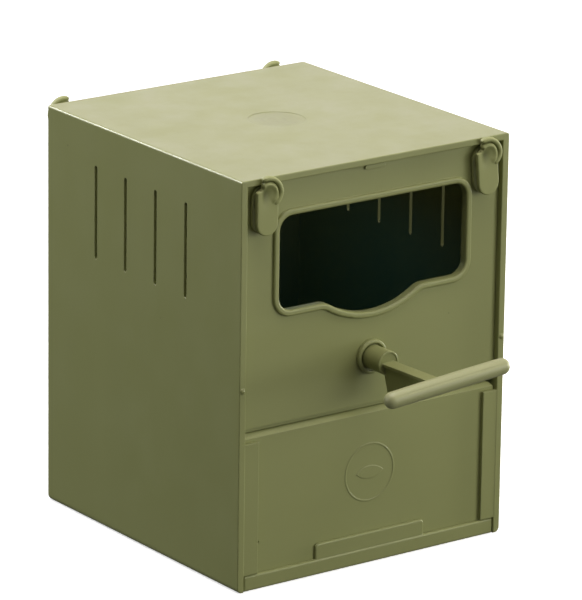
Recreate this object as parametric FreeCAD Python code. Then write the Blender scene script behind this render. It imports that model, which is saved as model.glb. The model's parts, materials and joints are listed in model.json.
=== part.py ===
"""Half-open nest box for small cage birds: one STEP file for each physical piece.

Millimetres, +Z up, +Y towards the back wall. The origin is the centre of the underside,
on the flat bottom of the slide-out tray, level with the lower edges of the case.
"""
import FreeCAD, Part
import math
import os

V = FreeCAD.Vector

# ---- driving dimensions -------------------------------------------------------------
CASE_HALF_WIDTH = 60.0
CASE_HALF_DEPTH = 62.5
CASE_HEIGHT = 154.0
WALL = 2.5
SIDE_WALL = 2.8
SIDE_TAPER = 1.0
FOOT_RADIUS = 2.0

FRONT = -CASE_HALF_DEPTH
INNER_HALF = CASE_HALF_WIDTH - SIDE_WALL
ROOF_UNDER = CASE_HEIGHT - WALL

UPPER_FACE = FRONT + 2.3
LOWER_FACE = FRONT + 1.7
PANEL_BACK = FRONT + 4.4
LIP_FACE = FRONT + 0.3
LIP_BACK = FRONT + 1.5
SIDE_GAP = 0.2

SEAM_LOW = 59.1
SEAM_HIGH = 59.4
GUIDE_TOP = 56.0
GUIDE_FOOT = 6.2
GUIDE_EDGE = 51.1
RIB_EDGE = 54.5
LEDGE_EDGE = 54.8
LEDGE_TOP = 1.9
LIP_TOP = 5.9
LIP_HALF = 56.9
TRAY_HALF = 54.4
FLANGE_LOW = 2.2
FLANGE_TOP = 3.6
TAB_HALF = 24.8
TAB_TOP = 11.8

WINDOW_HALF = 42.1
WINDOW_TOP = 137.9
WINDOW_FLAT = 102.7
WINDOW_CORNER = 5.5
DIP_BOTTOM = 96.0
DIP_RADIUS = 36.3
SHOULDER_RADIUS = 9.0
RIM_WIDTH = 2.4
RIM_PROUD = 1.2

PERCH_Z = 78.8
PERCH_ROLL = -4.4
HUB_R = 4.5
SPIGOT_R = 4.7
RUNNING_GAP = 0.05
SOCKET_R = 5.6
SOCKET_THROAT = UPPER_FACE - 0.5
HUB_END = UPPER_FACE - 10.4
BAR_Y = -105.4
BAR_Z = 80.6
BAR_R = 3.2
BAR_LENGTH = 55.2
PEG_R = 1.3
PEG_DROP = 1.3

LEFT_HOOK = (-50.2, 144.0)
RIGHT_HOOK = (48.6, 143.4)
REAR_LEFT_HOOK = (-48.8, 143.8)
REAR_RIGHT_HOOK = (48.1, 143.6)
HOOK_EYE_RISE = 4.5
HOOK_BASE_FACE = -1.35
TONGUE_BACK = -2.9
TONGUE_FACE = -4.7
HOOD_FACE = -5.4
STUD_R = 2.2
RIGHT_HOOK_SWING = -5.0


# ---- small helpers ------------------------------------------------------------------
def slab(x_span, y_span, z_span):
    """Square-edged block between the low and high value on each axis."""
    corner = V(x_span[0], y_span[0], z_span[0])
    return Part.makeBox(x_span[1] - x_span[0], y_span[1] - y_span[0], z_span[1] - z_span[0], corner)


def tapered_block(half_front, half_back, y_front, y_back, z_low, z_high):
    """Block whose width changes evenly from front to back."""
    corners = [V(-half_front, y_front, z_low), V(half_front, y_front, z_low),
               V(half_back, y_back, z_low), V(-half_back, y_back, z_low)]
    outline = Part.makePolygon(corners + corners[:1])
    return Part.Face(outline).extrude(V(0, 0, z_high - z_low))


def at(x, z):
    """Point of an upright outline, drawn in the XZ plane."""
    return V(x, 0, z)


def around(centre, radius, degrees):
    """Point on a circle of the XZ plane, counted from +X towards +Z."""
    turn = math.radians(degrees)
    return V(centre.x + radius * math.cos(turn), 0, centre.z + radius * math.sin(turn))


def arc(centre, radius, start, end):
    """Arc in the XZ plane between two angles in degrees."""
    points = [around(centre, radius, start + (end - start) * share) for share in (0, 0.5, 1)]
    return Part.Arc(*points).toShape()


def line(start, end):
    """Straight edge between two points."""
    return Part.LineSegment(start, end).toShape()


def upright(wire, y_low, y_high):
    """Solid made by carrying an XZ outline from one depth to another."""
    outline = Part.Face(wire)
    outline.translate(V(0, y_low, 0))
    return outline.extrude(V(0, y_high - y_low, 0))


def rounded_wire(x_low, x_high, z_low, z_high, radii):
    """Rectangle with its own radius at bottom left, bottom right, top right and top left."""
    low_left, low_right, top_right, top_left = radii
    spots = [(at(x_low + low_left, z_low + low_left), low_left, 180),
             (at(x_high - low_right, z_low + low_right), low_right, 270),
             (at(x_high - top_right, z_high - top_right), top_right, 0),
             (at(x_low + top_left, z_high - top_left), top_left, 90)]
    edges = []
    for index, (centre, radius, start) in enumerate(spots):
        edges.append(arc(centre, radius, start, start + 90))
        following, next_radius, next_start = spots[(index + 1) % 4]
        edges.append(line(around(centre, radius, start + 90),
                          around(following, next_radius, next_start)))
    return Part.Wire(edges)


def pill_wire(z_low, z_high, half_width):
    """Upright outline with two round ends, centred on x = 0."""
    low = at(0, z_low + half_width)
    high = at(0, z_high - half_width)
    return Part.Wire([arc(low, half_width, 180, 360),
                      line(around(low, half_width, 0), around(high, half_width, 0)),
                      arc(high, half_width, 0, 180),
                      line(around(high, half_width, 180), around(low, half_width, 180))])


def rod_y(x, z, y_low, y_high, radius):
    """Round rod along Y."""
    return Part.makeCylinder(radius, y_high - y_low, V(x, y_low, z), V(0, 1, 0))


def edges_where(shape, test):
    """Edges whose bounding box passes a test."""
    return [edge for edge in shape.Edges if test(edge.BoundBox)]


def near(value, target):
    """True when two lengths agree to a hundredth of a millimetre."""
    return abs(value - target) < 0.01


def lies_at_y(bounds, y):
    """True for an edge that lies wholly in the plane at this depth."""
    return near(bounds.YMin, y) and near(bounds.YMax, y)


# ---- case ---------------------------------------------------------------------------
def vent_slots():
    """Four upright slots through both side walls, as one cutting tool."""
    count, pitch, middle = 4, 19.2, 0.7
    half_width = 0.85
    low, high = 102.7, 138.3
    reach = 2 * CASE_HALF_WIDTH
    tools = []
    for index in range(count):
        y = middle + pitch * (index - (count - 1) / 2)
        tools.append(slab((-reach, reach), (y - half_width, y + half_width),
                          (low + half_width, high - half_width)))
        for z in (low + half_width, high - half_width):
            tools.append(Part.makeCylinder(half_width, 2 * reach, V(-reach, y, z), V(1, 0, 0)))
    return tools[0].multiFuse(tools[1:])


def case_outside():
    """Outer body of the case, a little narrower at the back, with its edges eased."""
    body = tapered_block(CASE_HALF_WIDTH, CASE_HALF_WIDTH - SIDE_TAPER, FRONT, -FRONT, 0, CASE_HEIGHT)
    back_edges = edges_where(body, lambda b: near(b.YMin, -FRONT) and b.ZLength > CASE_HEIGHT / 2)
    body = body.makeFillet(1.5, back_edges)
    roof_edges = edges_where(body, lambda b: near(b.ZMin, CASE_HEIGHT) and b.YMax > FRONT + 1)
    body = body.makeFillet(0.9, roof_edges)
    foot_edges = edges_where(body, lambda b: near(b.ZMax, 0) and b.YLength > CASE_HALF_DEPTH)
    return body.makeFillet(FOOT_RADIUS, foot_edges)


def both_sides(edge, y_span, z_span):
    """Two blocks, from this distance off the middle into each side wall."""
    into_wall = INNER_HALF + 0.5
    return [slab((-into_wall, -edge), y_span, z_span), slab((edge, into_wall), y_span, z_span)]


def case():
    """Roof, side walls and back wall in one moulding, open in front and below."""
    inner_back = -FRONT - WALL
    reach, front_spread = 7.5, 0.06
    cavity = tapered_block(INNER_HALF + SIDE_TAPER * front_spread, INNER_HALF - SIDE_TAPER,
                           FRONT - reach, inner_back, -1, ROOF_UNDER)
    body = case_outside().cut(cavity)
    mouth_edges = edges_where(body, lambda b: lies_at_y(b, FRONT) and b.ZMax > 1)
    body = body.makeFillet(0.35, mouth_edges)
    rib_span = (PANEL_BACK + 0.2, PANEL_BACK + 1.6)
    extras = both_sides(GUIDE_EDGE, (FRONT + 0.15, LOWER_FACE - 0.1), (GUIDE_FOOT, GUIDE_TOP))
    extras += both_sides(RIB_EDGE, rib_span, (GUIDE_FOOT, GUIDE_TOP - 3))
    extras += both_sides(RIB_EDGE, rib_span, (SEAM_HIGH + 3, ROOF_UNDER + 0.5))
    extras += both_sides(LEDGE_EDGE, (FRONT + 1.9, inner_back + 0.5), (0, LEDGE_TOP))
    nub_r, nub_z = 1.1, 76.5
    for side in (-1, 1):
        extras.append(Part.makeSphere(nub_r, V(side * (CASE_HALF_WIDTH - 1.3), FRONT + 0.4, nub_z)))
    body = body.multiFuse(extras)
    disc_r, disc_depth, disc_y = 10.75, 0.1, -0.9
    roof_disc = Part.makeCylinder(disc_r, 1, V(0, disc_y, CASE_HEIGHT - disc_depth))
    for x, z in (REAR_LEFT_HOOK, REAR_RIGHT_HOOK):
        hole = rod_y(x, z, inner_back - 1, -FRONT + 1, STUD_R + RUNNING_GAP)
        body = body.cut(hole)
    return body.cut(vent_slots()).cut(roof_disc).removeSplitter()


# ---- front panels and tray ------------------------------------------------------------
def window_wire(grow):
    """Window outline: a rounded rectangle whose sill dips in a wide arc, grown outwards."""
    half = WINDOW_HALF + grow
    top = WINDOW_TOP + grow
    flat = WINDOW_FLAT - grow
    corner = WINDOW_CORNER + grow
    shoulder = SHOULDER_RADIUS - grow
    dip_centre = at(0, DIP_BOTTOM + DIP_RADIUS)
    rise = dip_centre.z - WINDOW_FLAT + SHOULDER_RADIUS
    shoulder_x = math.sqrt((DIP_RADIUS + SHOULDER_RADIUS) ** 2 - rise ** 2)
    slope = math.degrees(math.atan2(rise, shoulder_x))
    left = at(-shoulder_x, flat - shoulder)
    right = at(shoulder_x, flat - shoulder)
    low_left = at(-half + corner, flat + corner)
    low_right = at(half - corner, flat + corner)
    top_right = at(half - corner, top - corner)
    top_left = at(-half + corner, top - corner)
    edges = [line(around(low_left, corner, 270), around(left, shoulder, 90)),
             arc(left, shoulder, 90, slope),
             arc(dip_centre, DIP_RADIUS + grow, 180 + slope, 360 - slope),
             arc(right, shoulder, 180 - slope, 90),
             line(around(right, shoulder, 90), around(low_right, corner, 270)),
             arc(low_right, corner, 270, 360),
             line(around(low_right, corner, 0), around(top_right, corner, 0)),
             arc(top_right, corner, 0, 90),
             line(around(top_right, corner, 90), around(top_left, corner, 90)),
             arc(top_left, corner, 90, 180),
             line(around(top_left, corner, 180), around(low_left, corner, 180)),
             arc(low_left, corner, 180, 270)]
    return Part.Wire(edges)


def window_rim():
    """Raised bead round the window, rounded on both edges."""
    rim_face = UPPER_FACE - RIM_PROUD
    ring = upright(window_wire(RIM_WIDTH), rim_face, UPPER_FACE + 0.5)
    ring = ring.cut(upright(window_wire(0), rim_face - 1, UPPER_FACE + 1))
    return ring.makeFillet(0.8, edges_where(ring, lambda b: lies_at_y(b, rim_face)))


def upper_front_panel():
    """Pull-off front with the window, its rim, the perch hole and two hook holes."""
    half = INNER_HALF - SIDE_GAP
    top = ROOF_UNDER - 0.3
    plate = upright(rounded_wire(-half, half, SEAM_HIGH, top, (0.4, 0.4, 3.6, 2.0)), UPPER_FACE, PANEL_BACK)
    step_height, step_depth = 1.4, 0.9
    step = slab((-half - 1, half + 1), (UPPER_FACE - 1, UPPER_FACE + step_depth),
                (SEAM_HIGH - 1, SEAM_HIGH + step_height))
    plate = plate.cut(step)
    catch_half, catch_proud = 4.5, 0.8
    catch = upright(rounded_wire(-catch_half, catch_half, top - 1.7, top - 0.2, (0.6,) * 4),
                    UPPER_FACE - catch_proud, UPPER_FACE + 0.5)
    plate = plate.multiFuse([window_rim(), catch])
    plate = plate.cut(upright(window_wire(0), UPPER_FACE - 3, PANEL_BACK + 1))
    plate = plate.cut(rod_y(0, PERCH_Z, UPPER_FACE - 1, PANEL_BACK + 1, SOCKET_R + 0.02))
    for x, z in (LEFT_HOOK, RIGHT_HOOK):
        hole = rod_y(x, z, UPPER_FACE - 1, PANEL_BACK + 1, STUD_R + RUNNING_GAP)
        plate = plate.cut(hole)
    return plate.removeSplitter()


def emblem(face):
    """Plain raised ring with a seed shape inside, on the lower panel."""
    z, proud, into = 34.6, 0.11, 0.5
    outer, inner = 11.2, 10.6
    ring = rod_y(0, z, face - proud, face + into, outer).cut(rod_y(0, z, face - 1, face + 1, inner))
    bow, offset = 9.0, 6.6
    seed = rod_y(0, z - offset, face - proud, face + into, bow)
    seed = seed.common(rod_y(0, z + offset, face - proud, face + into, bow))
    return [ring, seed]


def lower_front_panel():
    """Plain panel held behind the two guide strips, with a bevelled top edge and a gate mark."""
    half = INNER_HALF - 0.4
    foot = LIP_TOP - 1.0
    outline = rounded_wire(-half, half, foot, SEAM_LOW, (0.5, 0.5, 3.2, 2.2))
    plate = upright(outline, LOWER_FACE, PANEL_BACK)
    bevel = 1.7
    corner = [V(-half, LOWER_FACE, SEAM_LOW - bevel), V(-half, LOWER_FACE, SEAM_LOW),
              V(-half, LOWER_FACE + bevel, SEAM_LOW)]
    wedge = Part.Face(Part.makePolygon(corner + corner[:1])).extrude(V(2 * half, 0, 0))
    gate_x, gate_z, gate_r = -49.9, 17.5, 0.45
    gate = rod_y(gate_x, gate_z, LOWER_FACE - 1, LOWER_FACE + 0.5, gate_r)
    return plate.cut(wedge).cut(gate).multiFuse(emblem(LOWER_FACE)).removeSplitter()


def bottom_tray():
    """Slide-out floor: side flanges ride on the case ledges, a lip and pull tab close the front."""
    rear = -FRONT - WALL - 0.3
    front_rail = LOWER_FACE + 0.1
    floor_thickness, side_wall = 2.0, 1.4
    flange_half = INNER_HALF - 0.5
    floor = slab((-TRAY_HALF, TRAY_HALF), (LIP_BACK - 0.5, rear), (0, floor_thickness))
    flanges = tapered_block(flange_half, flange_half - SIDE_TAPER, front_rail, rear, FLANGE_LOW, FLANGE_TOP)
    risers = slab((-TRAY_HALF, TRAY_HALF), (front_rail, rear), (floor_thickness / 2, FLANGE_TOP))
    well_half = TRAY_HALF - side_wall
    well = slab((-well_half, well_half), (front_rail - 3, rear - side_wall),
                (floor_thickness, FLANGE_TOP + 5))
    sides = flanges.fuse(risers).cut(well)
    lip = upright(rounded_wire(-LIP_HALF, LIP_HALF, 0, LIP_TOP, (0.4, 0.4, 0.5, 0.5)), LIP_FACE, LIP_BACK)
    lip_edges = edges_where(lip, lambda b: lies_at_y(b, LIP_FACE) and b.ZMin > LIP_TOP - 1)
    lip = lip.makeFillet(0.8, lip_edges)
    tab_face = LIP_FACE + 0.25
    tab = upright(rounded_wire(-TAB_HALF, TAB_HALF, 1.0, TAB_TOP, (0.5, 0.5, 1.6, 1.6)), tab_face, LIP_BACK)
    tab_edges = edges_where(tab, lambda b: lies_at_y(b, tab_face) and b.ZMax > TAB_TOP - 3)
    tab = tab.makeFillet(0.7, tab_edges)
    return floor.multiFuse([sides, lip, tab]).removeSplitter()


# ---- perch --------------------------------------------------------------------------
def perch_socket():
    """Flanged bush in the upper panel that the perch turns in."""
    flange_r, mouth_r = 6.5, 5.3
    flange_face = UPPER_FACE - 1.7
    flange = rod_y(0, PERCH_Z, flange_face, UPPER_FACE, flange_r)
    flange = flange.makeFillet(0.7, edges_where(flange, lambda b: lies_at_y(b, flange_face)))
    barrel = rod_y(0, PERCH_Z, SOCKET_THROAT, PANEL_BACK + 1.1, SOCKET_R)
    bush = flange.fuse(barrel)
    bush = bush.cut(rod_y(0, PERCH_Z, flange_face - 1, SOCKET_THROAT, mouth_r))
    bore = rod_y(0, PERCH_Z, flange_face - 1, PANEL_BACK + 2, SPIGOT_R + RUNNING_GAP)
    return bush.cut(bore).removeSplitter()


def roll_perch(shape):
    """Turns a perch piece about its own axis, a few degrees up at the right."""
    shape.rotate(V(0, 0, PERCH_Z), V(0, 1, 0), PERCH_ROLL)
    return shape


def bar_rod():
    """Full round of the crossbar without its ends' rounding."""
    return Part.makeCylinder(BAR_R, BAR_LENGTH, V(-BAR_LENGTH / 2, BAR_Y, BAR_Z), V(1, 0, 0))


def prism_along_x(half, profile):
    """Solid of an outline of (y, z) points, carried the same way to both sides of the middle."""
    points = [V(-half, y, z) for y, z in profile]
    return Part.Face(Part.makePolygon(points + points[:1])).extrude(V(2 * half, 0, 0))


def perch_bracket():
    """Hub, snap-in spigot and T-section arm with a deep keel, ending against the crossbar."""
    snap_start = PANEL_BACK + 1.3
    snap_r, snap_length = 5.1, 1.0
    ring_proud, ring_inner = 0.35, 3.8
    spigot = rod_y(0, PERCH_Z, SOCKET_THROAT, snap_start, SPIGOT_R)
    snap = rod_y(0, PERCH_Z, snap_start, snap_start + snap_length, snap_r)
    hub = rod_y(0, PERCH_Z, HUB_END, SOCKET_THROAT, HUB_R)
    ring = rod_y(0, PERCH_Z, HUB_END - ring_proud, HUB_END, HUB_R)
    ring = ring.makeFillet(0.25, edges_where(ring, lambda b: lies_at_y(b, HUB_END - ring_proud)))
    ring = ring.cut(rod_y(0, PERCH_Z, HUB_END - 1, HUB_END, ring_inner))
    arm_half, keel_half, thickness = 2.5, 1.7, 1.1
    root, root_top, tip_top = HUB_END + 0.5, PERCH_Z + 0.3, PERCH_Z + 1.2
    arm = prism_along_x(arm_half, ((root, root_top), (BAR_Y, tip_top),
                                   (BAR_Y, tip_top - thickness), (root, root_top - thickness)))
    keel_foot, keel_tip = PERCH_Z - 12.6, PERCH_Z - 1.6
    keel = prism_along_x(keel_half, ((root, root_top - 0.5), (BAR_Y, tip_top - 0.5), (BAR_Y, keel_tip),
                                     (HUB_END - 1.6, keel_foot), (root, PERCH_Z - 3)))
    peg = rod_y(0, BAR_Z - PEG_DROP, BAR_Y, BAR_Y + BAR_R + 0.5, PEG_R)
    arm = arm.fuse(keel).cut(bar_rod())
    body = hub.multiFuse([spigot, snap, ring, arm, peg])
    return roll_perch(body.removeSplitter())


def perch_bar():
    """Round crossbar with domed ends and a fine mould line along both flanks."""
    bar = bar_rod()
    bar = bar.makeFillet(BAR_R - 0.4, edges_where(bar, lambda b: b.XLength < 0.01))
    depth, height, plain_end = 0.16, 0.2, 5.0
    half = BAR_LENGTH / 2 - plain_end
    for flank in (145, 35):
        turn = math.radians(flank)
        y = BAR_Y + BAR_R * math.cos(turn)
        z = BAR_Z + BAR_R * math.sin(turn)
        bar = bar.cut(slab((-half, half), (y - depth, y + depth), (z - height, z + height)))
    bar = bar.cut(rod_y(0, BAR_Z - PEG_DROP, BAR_Y, BAR_Y + BAR_R + 1, PEG_R))
    return roll_perch(bar)


# ---- hooks --------------------------------------------------------------------------
def hood_sector(inner, outer, start, end, y_low, y_high):
    """Part of a ring round the hook's eye, between two angles."""
    eye = at(0, HOOK_EYE_RISE)
    wire = Part.Wire([arc(eye, outer, start, end),
                      line(around(eye, outer, end), around(eye, inner, end)),
                      arc(eye, inner, end, start),
                      line(around(eye, inner, start), around(eye, outer, start))])
    return upright(wire, y_low, y_high)


def hook():
    """Cage hook about its stud axis: base plate, tongue in front of it, curled ridge and hood."""
    base = upright(pill_wire(-10.6, 7.0, 4.6), HOOK_BASE_FACE, -0.15)
    base = base.makeFillet(0.3, edges_where(base, lambda b: lies_at_y(b, HOOK_BASE_FACE)))
    post_r, post_rise = 3.5, 3.0
    post = rod_y(0, post_rise, TONGUE_BACK - 0.5, HOOK_BASE_FACE + 0.35, post_r)
    tongue = upright(pill_wire(-10.8, 9.1, 4.6), TONGUE_FACE, TONGUE_BACK)
    tongue = tongue.makeFillet(0.5, edges_where(tongue, lambda b: lies_at_y(b, TONGUE_FACE)))
    notch = upright(rounded_wire(-9.0, -1.8, 4.4, 14.0, (0.5, 2.4, 0.5, 0.5)), HOOD_FACE, TONGUE_BACK + 1)
    scoop_r, scoop_depth = 6.0, 1.1
    scoop = Part.makeSphere(scoop_r, V(0.2, TONGUE_FACE - scoop_r + scoop_depth, HOOK_EYE_RISE - 0.3))
    tongue = tongue.cut(notch).cut(scoop)
    start, end = -50, 108
    inner, outer = 4.9, 6.6
    hood = hood_sector(inner, outer, start, end, HOOD_FACE, TONGUE_BACK + 0.2)
    for angle in (start, end):
        tip = around(at(0, HOOK_EYE_RISE), (inner + outer) / 2, angle)
        hood = hood.fuse(rod_y(tip.x, tip.z, HOOD_FACE, TONGUE_BACK + 0.2, (outer - inner) / 2))
    hood = hood.removeSplitter()
    hood = hood.makeFillet(0.4, edges_where(hood, lambda b: lies_at_y(b, HOOD_FACE)))
    ridge = hood_sector(2.9, 4.2, -40, 125, TONGUE_FACE - 0.25, TONGUE_BACK - 0.3)
    web = hood_sector(3.6, 5.6, -45, 100, TONGUE_BACK - 0.6, TONGUE_BACK)
    body = base.multiFuse([post, tongue, hood, ridge, web])
    return body.cut(rod_y(0, 0, HOOK_BASE_FACE, 0, STUD_R)).removeSplitter()


def hook_stud(wall):
    """Headed stud pushed through the wall from inside and pressed into the hook's base."""
    head_r, head_start, head_end = 3.8, wall + 0.15, wall + 1.3
    shank = rod_y(0, 0, HOOK_BASE_FACE, wall + 0.5, STUD_R)
    head = rod_y(0, 0, head_start, head_end, head_r)
    head = head.makeFillet(0.4, edges_where(head, lambda b: lies_at_y(b, head_end)))
    return shank.fuse(head).removeSplitter()


def place_front(shape, place, swing):
    """Puts a hook piece on the upper panel, its tongue swung by the given angle."""
    shape.rotate(V(0, 0, 0), V(0, 1, 0), swing)
    shape.translate(V(place[0], UPPER_FACE, place[1]))
    return shape


def place_rear(shape, place):
    """Puts a hook piece on the outside of the back wall, facing backwards."""
    shape.rotate(V(0, 0, 0), V(0, 0, 1), 180)
    shape.translate(V(place[0], -FRONT, place[1]))
    return shape


def hook_nodes():
    """The four hooks and their studs, by node name."""
    nodes = {}
    panel_thickness = PANEL_BACK - UPPER_FACE
    for name, place, rear, swing in (("left", LEFT_HOOK, REAR_LEFT_HOOK, 0.0),
                                     ("right", RIGHT_HOOK, REAR_RIGHT_HOOK, RIGHT_HOOK_SWING)):
        nodes[f"front_{name}_hook"] = place_front(hook(), place, swing)
        nodes[f"front_{name}_hook_stud"] = place_front(hook_stud(panel_thickness), place, swing)
        nodes[f"rear_{name}_hook"] = place_rear(hook(), rear)
        nodes[f"rear_{name}_hook_stud"] = place_rear(hook_stud(WALL), rear)
    return nodes


def main():
    """Builds every piece and writes it under its node name."""
    os.makedirs("parts", exist_ok=True)
    nodes = {"case": case(), "upper_front_panel": upper_front_panel(),
             "lower_front_panel": lower_front_panel(), "bottom_tray": bottom_tray(),
             "perch_socket": perch_socket(), "perch_bracket": perch_bracket(), "perch_bar": perch_bar()}
    nodes.update(hook_nodes())
    for name, shape in nodes.items():
        solids = shape.Solids
        if len(solids) != 1 or not shape.isValid():
            raise ValueError(f"{name} is not one valid solid")
        solids[0].exportStep(f"parts/{name}.step")
        print(f"{name}: {solids[0].Volume:.0f} mm3")


main()
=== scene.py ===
"""Half-open nest box for small cage birds: its moulded plastics, worn edges, sculpted hooks and
turned perch, with the studio it stands in. Metres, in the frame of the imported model."""

import json
import math

import bmesh
import bpy
import numpy as np
from bpy.props import FloatProperty, FloatVectorProperty, PointerProperty
from mathutils import Matrix, Vector


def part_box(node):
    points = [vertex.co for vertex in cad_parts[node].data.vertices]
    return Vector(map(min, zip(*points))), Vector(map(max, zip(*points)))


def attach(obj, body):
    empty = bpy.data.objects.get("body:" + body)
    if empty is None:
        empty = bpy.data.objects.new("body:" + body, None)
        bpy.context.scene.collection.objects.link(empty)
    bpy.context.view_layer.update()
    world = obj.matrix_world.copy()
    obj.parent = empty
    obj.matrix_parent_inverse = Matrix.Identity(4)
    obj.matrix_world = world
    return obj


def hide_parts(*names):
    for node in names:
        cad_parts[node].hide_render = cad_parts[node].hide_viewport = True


bl_info = {
    "name": "Cage bird nest box",
    "version": (1, 0, 0),
    "blender": (4, 5, 0),
    "location": "View3D > Sidebar > Nest box",
    "description": "Moulded plastic finish, hooks, perch and studio of a half-open nest box",
    "category": "Object",
}

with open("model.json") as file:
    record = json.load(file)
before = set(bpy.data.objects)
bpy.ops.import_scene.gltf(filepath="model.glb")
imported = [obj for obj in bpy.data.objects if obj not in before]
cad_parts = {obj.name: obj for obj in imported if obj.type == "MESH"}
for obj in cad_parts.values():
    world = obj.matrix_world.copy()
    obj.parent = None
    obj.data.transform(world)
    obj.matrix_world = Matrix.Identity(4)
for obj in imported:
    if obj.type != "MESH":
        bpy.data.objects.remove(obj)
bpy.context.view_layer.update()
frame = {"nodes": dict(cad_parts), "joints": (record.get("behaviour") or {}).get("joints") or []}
MM = 0.001
MERGE_DISTANCE = 1e-6
CASE_LOW, CASE_HIGH = (np.array(corner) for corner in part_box("case"))
ROOF_DISC_Y = -0.9 * MM
ROOF_DISC_RADIUS = 11.4 * MM


# ---- sizes and colours a user may change ------------------------------------------------
class NESTBOX_PG_plastic(bpy.types.PropertyGroup):
    """Colour and surface of the moulded plastic."""
    body: FloatVectorProperty(name="Body colour", description="Olive of the moulded walls",
                              subtype="COLOR", size=3, min=0, max=1, default=(0.262, 0.274, 0.102))
    pale: FloatVectorProperty(name="Worn colour", description="Paler colour on rubbed edges",
                              subtype="COLOR", size=3, min=0, max=1, default=(0.40, 0.40, 0.20))
    # The crossbar's colour is lighter than the body's: painted light, standing in for light bounced up onto
    # the bar.
    bar: FloatVectorProperty(name="Bar colour", description="Colour of the crossbar",
                              subtype="COLOR", size=3, min=0, max=1, default=(0.355, 0.360, 0.175))
    roughness: FloatProperty(name="Roughness", description="Mean roughness of the satin surface",
                             min=0, max=1, default=0.42)
    grain: FloatProperty(name="Grain height", description="Height of the fine spark-eroded grain",
                         subtype="DISTANCE", unit="LENGTH", min=0, max=0.001, default=0.00003)
    edge: FloatProperty(name="Edge rounding", description="Radius that catches light on every edge",
                        subtype="DISTANCE", unit="LENGTH", min=0, max=0.002, default=0.00035)


def length(name, text, millimetres):
    """Property for one size, stated in millimetres and kept in metres."""
    return FloatProperty(name=name, description=text, subtype="DISTANCE", unit="LENGTH", precision=5,
                         default=millimetres * MM)


class NESTBOX_PG_hook(bpy.types.PropertyGroup):
    """Sizes of one cage hook, from its stud outwards."""
    tongue_half: length("Tongue half width", "Half the width of the tongue", 4.6)
    tongue_foot: length("Tongue foot", "How far the tongue reaches below the stud", 10.8)
    eye_rise: length("Eye rise", "How far the curled eye's middle lies above the stud", 4.5)
    tongue_back: length("Tongue back", "Distance of the tongue's back from the wall", 2.9)
    tongue_face: length("Tongue face", "Distance of the tongue's face from the wall", 4.7)
    base_face: length("Base face", "Distance of the base plate's face from the wall", 1.35)
    base_gap: length("Base gap", "Clearance between the base plate and the wall", 0.15)
    hood_radius: length("Hood radius", "Radius of the curled hood's middle line", 5.72)
    hood_half: length("Hood half thickness", "Half the hood's thickness across the curl", 0.92)
    ridge_height: length("Ridge height", "How far the inner curl stands out of the tongue", 0.6)
    scoop_depth: length("Scoop depth", "Depth of the hollow inside the inner curl", 1.0)
    right_swing: FloatProperty(name="Right hook swing", description="Rest angle of the front right hook",
                               subtype="ANGLE", unit="ROTATION", default=math.radians(-5.0))


class NESTBOX_PG_perch(bpy.types.PropertyGroup):
    """Sizes of the crossbar."""
    radius: length("Radius", "Radius of the crossbar at its middle", 3.2)
    length: length("Length", "Length over both domed ends", 55.2)
    dome: length("Dome length", "How far each end is rounded", 3.1)
    line_depth: length("Mould line depth", "Depth of the fine lines left by the mould", 0.13)
    roll: FloatProperty(name="Roll", description="Tilt of the crossbar, up at the right",
                        subtype="ANGLE", unit="ROTATION", default=math.radians(-4.4))


class NESTBOX_PG_studio(bpy.types.PropertyGroup):
    """Camera and lights."""
    bearing: FloatProperty(name="Bearing", description="Direction the camera looks, from +Y towards +X",
                           subtype="ANGLE", unit="ROTATION", default=math.radians(36.497))
    elevation: FloatProperty(name="Elevation", description="How far the camera looks down",
                             subtype="ANGLE", unit="ROTATION", default=math.radians(17.125))
    roll: FloatProperty(name="Roll", description="Turn of the camera about its own view",
                        subtype="ANGLE", unit="ROTATION", default=math.radians(0.820))
    place: FloatVectorProperty(name="Camera place", description="Where the camera stands",
                               subtype="TRANSLATION", unit="LENGTH", size=3,
                               default=(-1.0861, -1.4792, 0.6500))
    lens: FloatProperty(name="Focal length", description="Focal length on a 36 mm sensor",
                        subtype="DISTANCE_CAMERA", unit="CAMERA", default=310.98)
    behind: FloatProperty(name="Light behind", description="Power of the panel whose sheen lies on the roof",
                          subtype="POWER", unit="POWER", default=8.6)
    overhead: FloatProperty(name="Overhead light", description="Power of the soft light above",
                            subtype="POWER", unit="POWER", default=3.8)
    front: FloatProperty(name="Front lights", description="Power of the soft lights in front",
                         subtype="POWER", unit="POWER", default=7.4)
    left: FloatProperty(name="Left lights", description="Power of the small lights behind the left wall",
                        subtype="POWER", unit="POWER", default=8.0)
    edge: FloatProperty(name="Edge light", description="Power of the sheen along the roof's edge",
                        subtype="POWER", unit="POWER", default=13.0)
    inside: FloatProperty(name="Inside light", description="Power of the faint cool light in the nest",
                          subtype="POWER", unit="POWER", default=0.004)
    room: FloatProperty(name="Room light", description="Strength of the pale room around",
                        min=0, default=0.06)


class NESTBOX_PG_settings(bpy.types.PropertyGroup):
    """Everything a user of the nest box may change."""
    plastic: PointerProperty(type=NESTBOX_PG_plastic)
    hook: PointerProperty(type=NESTBOX_PG_hook)
    perch: PointerProperty(type=NESTBOX_PG_perch)
    studio: PointerProperty(type=NESTBOX_PG_studio)


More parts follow.
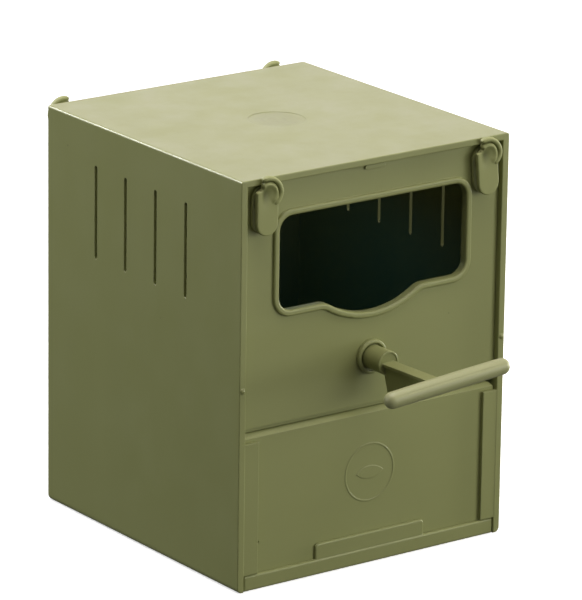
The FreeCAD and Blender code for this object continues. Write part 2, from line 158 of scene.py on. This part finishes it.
# ---- material helpers ---------------------------------------------------------------------
class Recipe:
    """Short way to lay nodes in one material and join them."""

    def __init__(self, name):
        self.material = bpy.data.materials.new(name)
        self.material.use_nodes = True
        self.tree = self.material.node_tree
        self.shader = self.tree.nodes["Principled BSDF"]
        self.place = self.add("ShaderNodeTexCoord").outputs["Object"]

    def add(self, kind, inputs=(), **settings):
        """A node of one kind, with its settings, and its inputs by name: a value or another output."""
        node = self.tree.nodes.new(kind)
        for key, value in settings.items():
            setattr(node, key, value)
        for key, value in dict(inputs).items():
            if isinstance(value, bpy.types.NodeSocket):
                self.tree.links.new(value, node.inputs[key])
            else:
                node.inputs[key].default_value = value
        return node

    def stretched(self, scale):
        """Object coordinates, stretched along each axis."""
        return self.add("ShaderNodeMapping", {"Vector": self.place, "Scale": scale}).outputs[0]

    def noise(self, vector, scale, detail=3.0, roughness=0.5):
        """Cloudy value from 0 to 1."""
        return self.add("ShaderNodeTexNoise", {"Vector": vector, "Scale": scale, "Detail": detail,
                                               "Roughness": roughness}).outputs[0]

    def ramp(self, value, low, high, out_low=0.0, out_high=1.0):
        """Value carried from one span to another, held at its ends."""
        return self.add("ShaderNodeMapRange", {"Value": value, "From Min": low, "From Max": high,
                                               "To Min": out_low, "To Max": out_high}).outputs[0]

    def times(self, first, second, operation="MULTIPLY"):
        """Two values joined by one operation: their product, unless another is named."""
        return self.add("ShaderNodeMath", {0: first, 1: second}, operation=operation).outputs[0]

    def blend(self, share, first, second):
        """Two colours mixed by a share."""
        return self.add("ShaderNodeMix", {"Factor": share, 6: first, 7: second}, data_type="RGBA").outputs[2]


def rgba(colour, gain=1.0):
    """Colour with full cover, made lighter or darker by a gain."""
    return (*(channel * gain for channel in colour), 1.0)


def disc_sheen_shade(recipe, middle, radius):
    """Share from 0 to 1 of painted shade on a flat disc, standing in for the duller sheen of its textured
    face: faint concentric rings inside a soft, cloudy edge.
    """
    offset = recipe.add("ShaderNodeVectorMath", {0: recipe.place, 1: middle}, operation="SUBTRACT").outputs[0]
    reach = recipe.add("ShaderNodeVectorMath", {0: offset}, operation="LENGTH").outputs["Value"]
    cloud = recipe.ramp(recipe.noise(recipe.place, 320, 3, 0.6), 0.3, 0.7, 0.35, 0.95)
    rings = recipe.ramp(recipe.times(recipe.times(reach, 2600), 0, "SINE"), -1, 1, 0.7, 1)
    inside = recipe.ramp(reach, radius, 0.55 * radius)
    return recipe.times(recipe.times(cloud, rings), inside)


def moulded_plastic(name, plastic, tint=1.0, flow=(2.0, 2.0, 0.5), disc=None, body=None, matt=0.0):
    """Satin injection-moulded plastic. Long cloudy flow marks and small mottling shift its tone, edges are
    rubbed paler where the rounded normal leaves the flat one, sparse dark and pale specks lie in it, and a
    fine pitted grain with shallow sink waves breaks up its gloss. Painted shade darkens the colour where the
    piece's own shade attribute is high, as in the hooks' hollows. A disc, given as its middle and radius,
    gets painted shade standing in for its duller sheen."""
    recipe = Recipe(name)
    body, pale = body or plastic.body, plastic.pale
    marks = recipe.noise(recipe.stretched(flow), 26, 4, 0.55)
    mottle = recipe.noise(recipe.place, 240, 3, 0.6)
    shade = recipe.times(recipe.ramp(marks, 0.3, 0.7), recipe.ramp(mottle, 0.25, 0.75, 0.8, 1.2))
    colour = recipe.blend(shade, rgba(body, 0.985 * tint), rgba(body, 1.015 * tint))

    rounded = recipe.add("ShaderNodeBevel", {"Radius": plastic.edge}, samples=6).outputs[0]
    flat = recipe.add("ShaderNodeNewGeometry").outputs["True Normal"]
    lean = recipe.add("ShaderNodeVectorMath", {0: rounded, 1: flat}, operation="DOT_PRODUCT").outputs["Value"]
    patchy = recipe.noise(recipe.place, 90, 4, 0.65)
    rubbed = recipe.times(recipe.ramp(lean, 0.985, 0.80), recipe.ramp(patchy, 0.35, 0.65, 0.25, 0.8))
    colour = recipe.blend(rubbed, colour, rgba(pale, tint))

    cells = recipe.add("ShaderNodeTexVoronoi", {"Vector": recipe.place, "Scale": 95.0}, feature="F1")
    chosen = recipe.ramp(recipe.noise(recipe.place, 31, 1, 0.4), 0.60, 0.66)
    speck = recipe.times(recipe.ramp(cells.outputs["Distance"], 0.045, 0.02), chosen)
    colour = recipe.blend(speck, colour, rgba(body, 0.45))
    # Painted shade: an attribute darkens the colour where a hollow lies in shade.
    held = recipe.add("ShaderNodeAttribute", attribute_name="soil").outputs["Fac"]
    hollow_shade_share = recipe.times(held, recipe.ramp(patchy, 0.3, 0.7, 0.55, 0.9))
    colour = recipe.blend(hollow_shade_share, colour, rgba(body, 0.35))
    if disc:
        # Painted shade on the disc, standing in for its duller sheen.
        colour = recipe.blend(disc_sheen_shade(recipe, *disc), colour, rgba(body, 0.80))
    recipe.tree.links.new(colour, recipe.shader.inputs["Base Color"])

    pits = recipe.noise(recipe.place, 2600, 2, 0.5)
    gloss = recipe.ramp(recipe.noise(recipe.place, 60, 5, 0.6), 0.3, 0.7, -0.06, 0.06)
    rough = recipe.times(gloss, plastic.roughness + matt, "ADD")
    recipe.tree.links.new(rough, recipe.shader.inputs["Roughness"])
    waves = recipe.noise(recipe.place, 38, 2, 0.5)
    sunk = recipe.add("ShaderNodeBump", {"Height": waves, "Normal": rounded, "Strength": 0.12,
                                         "Distance": 0.0003}).outputs[0]
    grained = recipe.add("ShaderNodeBump", {"Height": pits, "Normal": sunk, "Strength": 0.35,
                                            "Distance": plastic.grain}).outputs[0]
    recipe.tree.links.new(grained, recipe.shader.inputs["Normal"])
    return recipe.material


def dress(piece, material):
    """Puts one material in every slot of a piece."""
    piece.data.materials.clear()
    piece.data.materials.append(material)


def dress_nodes(names, material):
    """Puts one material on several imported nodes."""
    for name in names:
        dress(frame["nodes"][name], material)


# ---- surfaces ---------------------------------------------------------------------------
def shell_piece(name, grids, soil=None):
    """One smooth mesh of several closed shells. Each grid is rows of points whose columns run right round;
    its first and last rows close on a point or a line, where doubled points are merged. The painted shade, if
    given, is a value for every point, which the material reads as an attribute to darken the colour."""
    points = []
    faces = []
    start = 0
    for grid in grids:
        rows, columns = grid.shape[:2]
        row, column = np.meshgrid(np.arange(rows - 1), np.arange(columns), indexing="ij")
        after = (column + 1) % columns
        faces.append(start + np.stack([row * columns + column, row * columns + after,
                                       (row + 1) * columns + after, (row + 1) * columns + column],
                                      -1).reshape(-1, 4))
        points.append(grid.reshape(-1, 3))
        start += rows * columns
    mesh = bpy.data.meshes.new(name)
    mesh.from_pydata(np.concatenate(points).tolist(), [], np.concatenate(faces).tolist())
    if soil is not None:
        mesh.attributes.new("soil", "FLOAT", "POINT").data.foreach_set("value", soil)
    form = bmesh.new()
    form.from_mesh(mesh)
    bmesh.ops.remove_doubles(form, verts=form.verts, dist=MERGE_DISTANCE)
    bmesh.ops.recalc_face_normals(form, faces=form.faces)
    form.to_mesh(mesh)
    form.free()
    mesh.shade_smooth()
    piece = bpy.data.objects.new(name, mesh)
    bpy.context.scene.collection.objects.link(piece)
    return piece


def soft_step(value, low, high):
    """Smooth climb from 0 at low to 1 at high."""
    share = np.clip((value - low) / (high - low), 0, 1)
    return share * share * (3 - 2 * share)


def pill_shell(low, high, half, back, edge, face, pinch=None):
    """Closed pill-shaped plate as (x, z, out) points. Its columns run round the outline, each straight
    out from the plate's middle line, and its rows go from that line over the face, round the rounded
    edge, and across the back to the line again. face(x, z) is how far out the front lies; pinch(turn)
    narrows the upper round end."""
    arc_points, face_rows, round_rows, back_rows = 60, 30, 8, 5
    over = np.linspace(0, np.pi, arc_points)
    side = np.linspace(0, 1, arc_points // 2)[1:-1]
    top, bottom = high - half, low + half
    turn = np.concatenate([over, np.full(side.size, np.pi), over + np.pi, np.full(side.size, 2 * np.pi)])
    spine = np.concatenate([np.full(arc_points, top), top + (bottom - top) * side,
                            np.full(arc_points, bottom), bottom + (top - bottom) * side])
    reach = np.full(turn.size, half)
    if pinch:
        reach[:arc_points] *= pinch(over)
    bend = np.linspace(0, np.pi / 2, round_rows + 1)
    falling, turning = bend[1:], bend[::2]
    ease = edge / half
    share = np.concatenate([np.linspace(0, 1 - ease, face_rows),
                            1 - ease + ease * np.sin(falling),
                            1 - ease + ease * np.cos(turning),
                            np.linspace(1 - ease, 0, back_rows + 1)[1:]])
    x = share[:, None] * reach * np.cos(turn)
    z = spine + share[:, None] * reach * np.sin(turn)
    front = face_rows + round_rows
    out = np.full(x.shape, back)
    out[:front] = face(x[:front], z[:front])
    out[face_rows:front] -= edge * (1 - np.cos(falling))[:, None]
    out[front:front + turning.size] += edge * (1 - np.sin(turning))[:, None]
    return np.stack([x, z, out], -1)


def curl_shell(eye, start, end, radius, narrowing, half, out_middle, out_half):
    """Closed bar bent round the eye, as (x, z, out) points. Its path is an arc between two angles whose
    radius shrinks by the narrowing towards the start; its section is a rounded oblong carried along
    the path, closing to a point over the last tenth at both ends like a fingertip."""
    path_points, section_points = 72, 28
    fingertip, oblong = 14, 0.8
    along = 0.5 - 0.5 * np.cos(np.linspace(0, np.pi, path_points))
    angle = start + (end - start) * along
    middle = radius - narrowing * (1 - soft_step(along, 0, 0.35))
    swell = (1 - np.abs(2 * along - 1) ** fingertip) ** 0.5
    around = np.linspace(0, 2 * np.pi, section_points, endpoint=False)
    across = np.sign(np.cos(around)) * np.abs(np.cos(around)) ** oblong
    outward = np.sign(np.sin(around)) * np.abs(np.sin(around)) ** oblong
    reach = middle[:, None] + half * swell[:, None] * across
    x = reach * np.cos(angle)[:, None]
    z = eye + reach * np.sin(angle)[:, None]
    out = out_middle + out_half * swell[:, None] * outward
    return np.stack([x, z, out], -1)


def hook_shells(hook):
    """The hook's shells as (x, z, out) points about its stud. The tongue's face is level, less a hollow
    that is deepest inside the eye and fades down the tongue, plus a curl that rises in a ring round the
    eye from lower right over the top to upper left; the upper left shoulder is drawn in."""
    eye, half = hook.eye_rise, hook.tongue_half
    hollow_left, hollow_width, hollow_above, hollow_below = 0.3 * MM, 2.0 * MM, 2.3 * MM, 3.2 * MM
    ridge_radius, ridge_width = 3.55 * MM, 0.85 * MM
    base_foot, base_top, base_half = 10.6 * MM, 7.0 * MM, 4.6 * MM
    post_rise, post_half, sunk_in_base, sunk_in_tongue = 3.0 * MM, 3.5 * MM, 0.3 * MM, 0.4 * MM
    hood_narrowing, hood_out, hood_out_half = 0.7 * MM, 4.1 * MM, 1.28 * MM
    web_radius, web_half, web_out, web_out_half = 4.6 * MM, 0.9 * MM, 3.2 * MM, 0.28 * MM
    tongue_edge, base_edge, post_edge = 0.5 * MM, 0.3 * MM, 0.1 * MM

    def face(x, z):
        rise = z - eye
        reach = np.hypot(x, rise)
        angle = np.degrees(np.arctan2(rise, x))
        depth = np.where(rise < 0, hollow_below, hollow_above)
        hollow = np.exp(-((x + hollow_left) / hollow_width) ** 2 - (rise / depth) ** 2)
        span = soft_step(angle, -66, -34) * (1 - soft_step(angle, 118, 142))
        curl = np.exp(-((reach - ridge_radius) / ridge_width) ** 2) * span
        return hook.tongue_face + hook.ridge_height * curl - hook.scoop_depth * hollow * (1 - 0.8 * curl)

    def shoulder(turn):
        angle = np.degrees(turn)
        return 1 - 0.36 * soft_step(angle, 112, 134) * (1 - soft_step(angle, 150, 168))

    def plain(level):
        return lambda x, z: np.full(x.shape, level)

    tongue = pill_shell(-hook.tongue_foot, eye + half, half, hook.tongue_back, tongue_edge, face, shoulder)
    base = pill_shell(-base_foot, base_top, base_half, hook.base_gap, base_edge, plain(hook.base_face))
    post = pill_shell(post_rise - post_half, post_rise + post_half, post_half,
                      hook.base_face - sunk_in_base, post_edge, plain(hook.tongue_back + sunk_in_tongue))
    start, end = math.radians(-54), math.radians(113)
    hood = curl_shell(eye, start, end, hook.hood_radius, hood_narrowing, hook.hood_half,
                      hood_out, hood_out_half)
    web = curl_shell(eye, start, end, web_radius, 0, web_half, web_out, web_out_half)
    return [tongue, base, post, hood, web]


def hook_painted_shade(hook, shells):
    """Painted shade for the hollow, for every point in turn: most left of the eye's middle, fading down the
    tongue as a bell curve each way, and none behind the tongue's face."""
    left, width, above, below = 0.9 * MM, 1.5 * MM, 2.2 * MM, 3.6 * MM
    x, z, out = (np.concatenate([shell[..., axis].ravel() for shell in shells]) for axis in range(3))
    rise = z - hook.eye_rise
    spread = np.where(rise < 0, below, above)
    return np.exp(-((x + left) / width) ** 2 - (rise / spread) ** 2) * (out > hook.tongue_back)


def stud_place(node):
    """Where a hook's stud meets the wall: its joint's place, moved to the face the hook lies on."""
    joint = next(j for j in frame["joints"] if j["child"] == node + "_body")
    low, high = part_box(node)
    return joint["pos_m"][0], (high[1] if node.startswith("front") else low[1]), joint["pos_m"][2]


def standing(shell, place, facing, swing, gap):
    """Turns (x, z, out) points by the swing and stands them on the wall, facing front or back."""
    x, z, out = shell[..., 0], shell[..., 1], shell[..., 2] - gap
    side = x * math.cos(swing) + z * math.sin(swing)
    rise = z * math.cos(swing) - x * math.sin(swing)
    return np.stack([place[0] + facing * side, place[1] - facing * out, place[2] + rise], -1)


def bar_shell(perch, middle):
    """The crossbar: rings along its length whose radius is full in the middle, a little less towards
    the ends, and follows an ellipse over each dome. Two fine lines are dented in along both flanks."""
    dome_rings, level_rings, section_points = 16, 40, 144
    slimming, dome_power = 0.05, 2.2
    line_angles, line_width = (35, 145), 0.05
    line_fade_start, line_fade_end = 4 * MM, 1 * MM
    straight = perch.length / 2 - perch.dome
    left = -straight + perch.dome * -np.cos(np.linspace(0, np.pi / 2, dome_rings))
    level = np.linspace(-straight, straight, level_rings)[1:-1]
    along = np.concatenate([left, level, -left[::-1]])
    beyond = np.clip((np.abs(along) - straight) / perch.dome, 0, 1)
    slim = 1 - slimming * (along / (perch.length / 2)) ** 2
    ring = perch.radius * slim * np.sqrt(1 - beyond ** dome_power)
    turn = np.linspace(0, 2 * np.pi, section_points, endpoint=False)
    near_line = sum(np.exp(-((turn - math.radians(flank)) / line_width) ** 2) for flank in line_angles)
    held = 1 - soft_step(np.abs(along), straight - line_fade_start, straight - line_fade_end)
    radius = ring[:, None] - perch.line_depth * held[:, None] * near_line
    y = middle[1] + radius * np.cos(turn)
    rise = radius * np.sin(turn)
    along = along[:, None]
    x = middle[0] + along * math.cos(perch.roll) + rise * math.sin(perch.roll)
    z = middle[2] + rise * math.cos(perch.roll) - along * math.sin(perch.roll)
    return np.stack([x, y, z], -1)


# ---- operators ----------------------------------------------------------------------------
class NESTBOX_OT_case(bpy.types.Operator):
    """Finishes the case, with its guide strips, vent slots and roof."""
    bl_idname = "nestbox.case"
    bl_label = "Case"

    def execute(self, context):
        plastic = context.scene.nest_box.plastic
        disc = ((0, ROOF_DISC_Y, CASE_HIGH[2]), ROOF_DISC_RADIUS)
        dress_nodes(["case"], moulded_plastic("case_plastic", plastic, disc=disc))
        return {"FINISHED"}


class NESTBOX_OT_front(bpy.types.Operator):
    """Finishes the two front panels and the perch socket."""
    bl_idname = "nestbox.front"
    bl_label = "Front panels"

    def execute(self, context):
        plastic = context.scene.nest_box.plastic
        material = moulded_plastic("panel_plastic", plastic, 1.02, (0.6, 2.0, 2.0))
        dress_nodes(["upper_front_panel", "lower_front_panel", "perch_socket"], material)
        return {"FINISHED"}


class NESTBOX_OT_tray(bpy.types.Operator):
    """Finishes the slide-out tray."""
    bl_idname = "nestbox.tray"
    bl_label = "Bottom tray"

    def execute(self, context):
        plastic = context.scene.nest_box.plastic
        dress_nodes(["bottom_tray"], moulded_plastic("tray_plastic", plastic, 0.99, (0.6, 0.6, 2.0)))
        return {"FINISHED"}


class NESTBOX_OT_perch(bpy.types.Operator):
    """Builds the crossbar, and finishes it and its bracket."""
    bl_idname = "nestbox.perch"
    bl_label = "Perch"

    def execute(self, context):
        plastic = context.scene.nest_box.plastic
        dress_nodes(["perch_bracket"], moulded_plastic("bracket_plastic", plastic, 1.05))
        low, high = (np.array(corner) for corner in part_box("perch_bar"))
        bar = shell_piece("perch_bar_form", [bar_shell(context.scene.nest_box.perch, (low + high) / 2)])
        # The crossbar gets the lighter bar colour, which is painted light.
        dress(bar, moulded_plastic("bar_plastic", plastic, body=plastic.bar))
        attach(bar, "perch_body")
        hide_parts("perch_bar")
        return {"FINISHED"}


class NESTBOX_OT_hooks(bpy.types.Operator):
    """Builds the four cage hooks, and finishes them and their studs."""
    bl_idname = "nestbox.hooks"
    bl_label = "Cage hooks"

    def execute(self, context):
        plastic = context.scene.nest_box.plastic
        material = moulded_plastic("hook_plastic", plastic, 1.08, matt=0.2)
        hook = context.scene.nest_box.hook
        shells = hook_shells(hook)
        # Painted shade for the hook's hollow, a value for every point.
        soil = hook_painted_shade(hook, shells).astype(np.float32)
        for node in [f"{end}_{side}_hook" for end in ("front", "rear") for side in ("left", "right")]:
            swing = hook.right_swing if node == "front_right_hook" else 0.0
            facing = 1 if node.startswith("front") else -1
            place = stud_place(node)
            piece = shell_piece(node + "_form", [standing(shell, place, facing, swing, hook.base_gap)
                                                 for shell in shells], soil)
            dress(piece, material)
            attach(piece, node + "_body")
            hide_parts(node)
            dress_nodes([node + "_stud"], material)
        return {"FINISHED"}


def soft_light(name, place, aim, size, power, colour):
    """Rectangular area light that faces a point and is not seen by the camera."""
    lamp = bpy.data.lights.new(name, "AREA")
    lamp.shape = "RECTANGLE"
    lamp.size, lamp.size_y = size
    lamp.energy = power
    lamp.color = colour
    holder = bpy.data.objects.new(name, lamp)
    holder.location = place
    holder.rotation_euler = (Vector(aim) - Vector(place)).to_track_quat("-Z", "Y").to_euler()
    holder.visible_camera = False
    bpy.context.scene.collection.objects.link(holder)
    return holder


def studio_floor():
    """Pale floor: a disc whose rows widen outwards, level with the underside."""
    turns, rows, reach = 64, 12, 6.0
    turn = np.linspace(0, 2 * np.pi, turns, endpoint=False)
    radius = reach * np.linspace(0, 1, rows + 1)[1:] ** 2
    x = np.outer(radius, np.cos(turn)).ravel()
    y = np.outer(radius, np.sin(turn)).ravel()
    points = np.column_stack([x, y, np.full(x.size, CASE_LOW[2])])
    row, step = np.meshgrid(np.arange(rows - 1), np.arange(turns), indexing="ij")
    after = (step + 1) % turns
    faces = np.stack([row * turns + step, (row + 1) * turns + step,
                      (row + 1) * turns + after, row * turns + after], -1).reshape(-1, 4)
    mesh = bpy.data.meshes.new("floor")
    mesh.from_pydata(points, [], faces.tolist() + [list(range(turns))])
    floor = bpy.data.objects.new("floor", mesh)
    bpy.context.scene.collection.objects.link(floor)
    recipe = Recipe("floor_paint")
    cloud = recipe.noise(recipe.place, 3, 2)
    tone = recipe.blend(cloud, (0.86, 0.86, 0.85, 1), (0.90, 0.90, 0.89, 1))
    recipe.tree.links.new(tone, recipe.shader.inputs["Base Color"])
    recipe.shader.inputs["Roughness"].default_value = 0.9
    recipe.shader.inputs["Emission Color"].default_value = (1, 1, 1, 1)
    recipe.shader.inputs["Emission Strength"].default_value = 0.5
    floor.data.materials.append(recipe.material)
    floor.visible_diffuse = False
    floor.visible_glossy = False


class NESTBOX_OT_studio(bpy.types.Operator):
    """Sets the pale floor, the soft lights and the camera."""
    bl_idname = "nestbox.studio"
    bl_label = "Studio"

    def execute(self, context):
        studio = context.scene.nest_box.studio
        scene = context.scene
        studio_floor()
        middle = (0, 0, 0.08)
        soft_light("behind", (0.95, 1.25, 0.62), (0, 0, 0.15), (2.4, 0.8), studio.behind, (1, 0.93, 1.08))
        soft_light("ceiling", (0, 0, 1.3), middle, (1.4, 1.4), studio.overhead, (1, 0.95, 1))
        soft_light("overhead", (0, 0, 0.7), middle, (0.6, 0.6), studio.overhead, (1, 0.95, 1))
        soft_light("above_front", (0.4, -0.8, 1.1), middle, (0.9, 0.9), 0.25 * studio.front, (1, 0.98, 0.85))
        soft_light("front_right", (0.55, -1.4, 0.18), middle, (1.1, 1.1), 0.97 * studio.front, (0.98, 1, 0.9))
        soft_light("front_left", (-0.35, -1.45, 0.16), middle, (1.0, 1.0), 0.13 * studio.front, (1, 1, 0.90))
        soft_light("near_right", (0.55, -0.75, 0.30), middle, (0.4, 0.4), 0.2 * studio.front, (1, 1, 0.95))
        soft_light("back_left", (-0.63, 1.05, 0.75), middle, (0.45, 0.45), 0.98 * studio.left, (0.97, 1, 1))
        soft_light("left", (-1.10, 0.55, 0.40), middle, (0.5, 0.5), 0.42 * studio.left, (0.97, 1, 1))
        soft_light("right", (0.9, -0.12, 0.12), middle, (0.2, 0.2), 0.8 * studio.front, (1, 1, 0.9))
        soft_light("inside", (0, 0, 0.12), (0, 0, 0), (0.05, 0.05), studio.inside, (0.001, 0.36, 1))
        edge = soft_light("edge", (-0.42, 1.06, 0.80), middle, (0.3, 0.3), studio.edge, (1, 1, 1))
        edge.visible_diffuse = False
        world = bpy.data.worlds.new("room")
        world.use_nodes = True
        sky = world.node_tree.nodes["Background"]
        sky.inputs["Color"].default_value = (1, 1, 1, 1)
        sky.inputs["Strength"].default_value = studio.room
        scene.world = world
        scene.view_settings.view_transform = "Standard"

        ahead = Vector((math.sin(studio.bearing) * math.cos(studio.elevation),
                        math.cos(studio.bearing) * math.cos(studio.elevation), -math.sin(studio.elevation)))
        right = ahead.cross(Vector((0, 0, 1))).normalized()
        up = right.cross(ahead)
        turn = Matrix.Rotation(studio.roll, 3, -ahead)
        columns = (turn @ right, turn @ up, -ahead)
        view = bpy.data.cameras.new("view")
        view.lens = studio.lens
        view.clip_start, view.clip_end = 0.01, 50.0
        camera = bpy.data.objects.new("view", view)
        camera.matrix_world = Matrix.Translation(studio.place) @ Matrix(columns).transposed().to_4x4()
        scene.collection.objects.link(camera)
        scene.camera = camera
        return {"FINISHED"}


OPERATORS = (NESTBOX_OT_studio, NESTBOX_OT_case, NESTBOX_OT_front, NESTBOX_OT_tray, NESTBOX_OT_perch,
             NESTBOX_OT_hooks)


class NESTBOX_PT_sidebar(bpy.types.Panel):
    """Lists the pieces of the nest box."""
    bl_idname = "NESTBOX_PT_sidebar"
    bl_label = "Nest box"
    bl_space_type = "VIEW_3D"
    bl_region_type = "UI"
    bl_category = "Nest box"

    def draw(self, context):
        for operator in OPERATORS:
            self.layout.operator(operator.bl_idname)
        settings = context.scene.nest_box
        for group in (settings.plastic, settings.hook, settings.perch, settings.studio):
            for key in group.__annotations__:
                self.layout.prop(group, key)


GROUPS = (NESTBOX_PG_plastic, NESTBOX_PG_hook, NESTBOX_PG_perch, NESTBOX_PG_studio, NESTBOX_PG_settings)
CLASSES = GROUPS + OPERATORS + (NESTBOX_PT_sidebar,)


def register():
    """Makes the classes and their settings known to Blender."""
    for item in CLASSES:
        bpy.utils.register_class(item)
    bpy.types.Scene.nest_box = PointerProperty(type=NESTBOX_PG_settings)


def unregister():
    """Takes the classes and their settings away again."""
    del bpy.types.Scene.nest_box
    for item in reversed(CLASSES):
        bpy.utils.unregister_class(item)


def main():
    """Builds every piece in order."""
    register()
    bpy.ops.nestbox.studio()
    bpy.ops.nestbox.case()
    bpy.ops.nestbox.front()
    bpy.ops.nestbox.tray()
    bpy.ops.nestbox.perch()
    bpy.ops.nestbox.hooks()


if __name__ == "__main__":
    main()
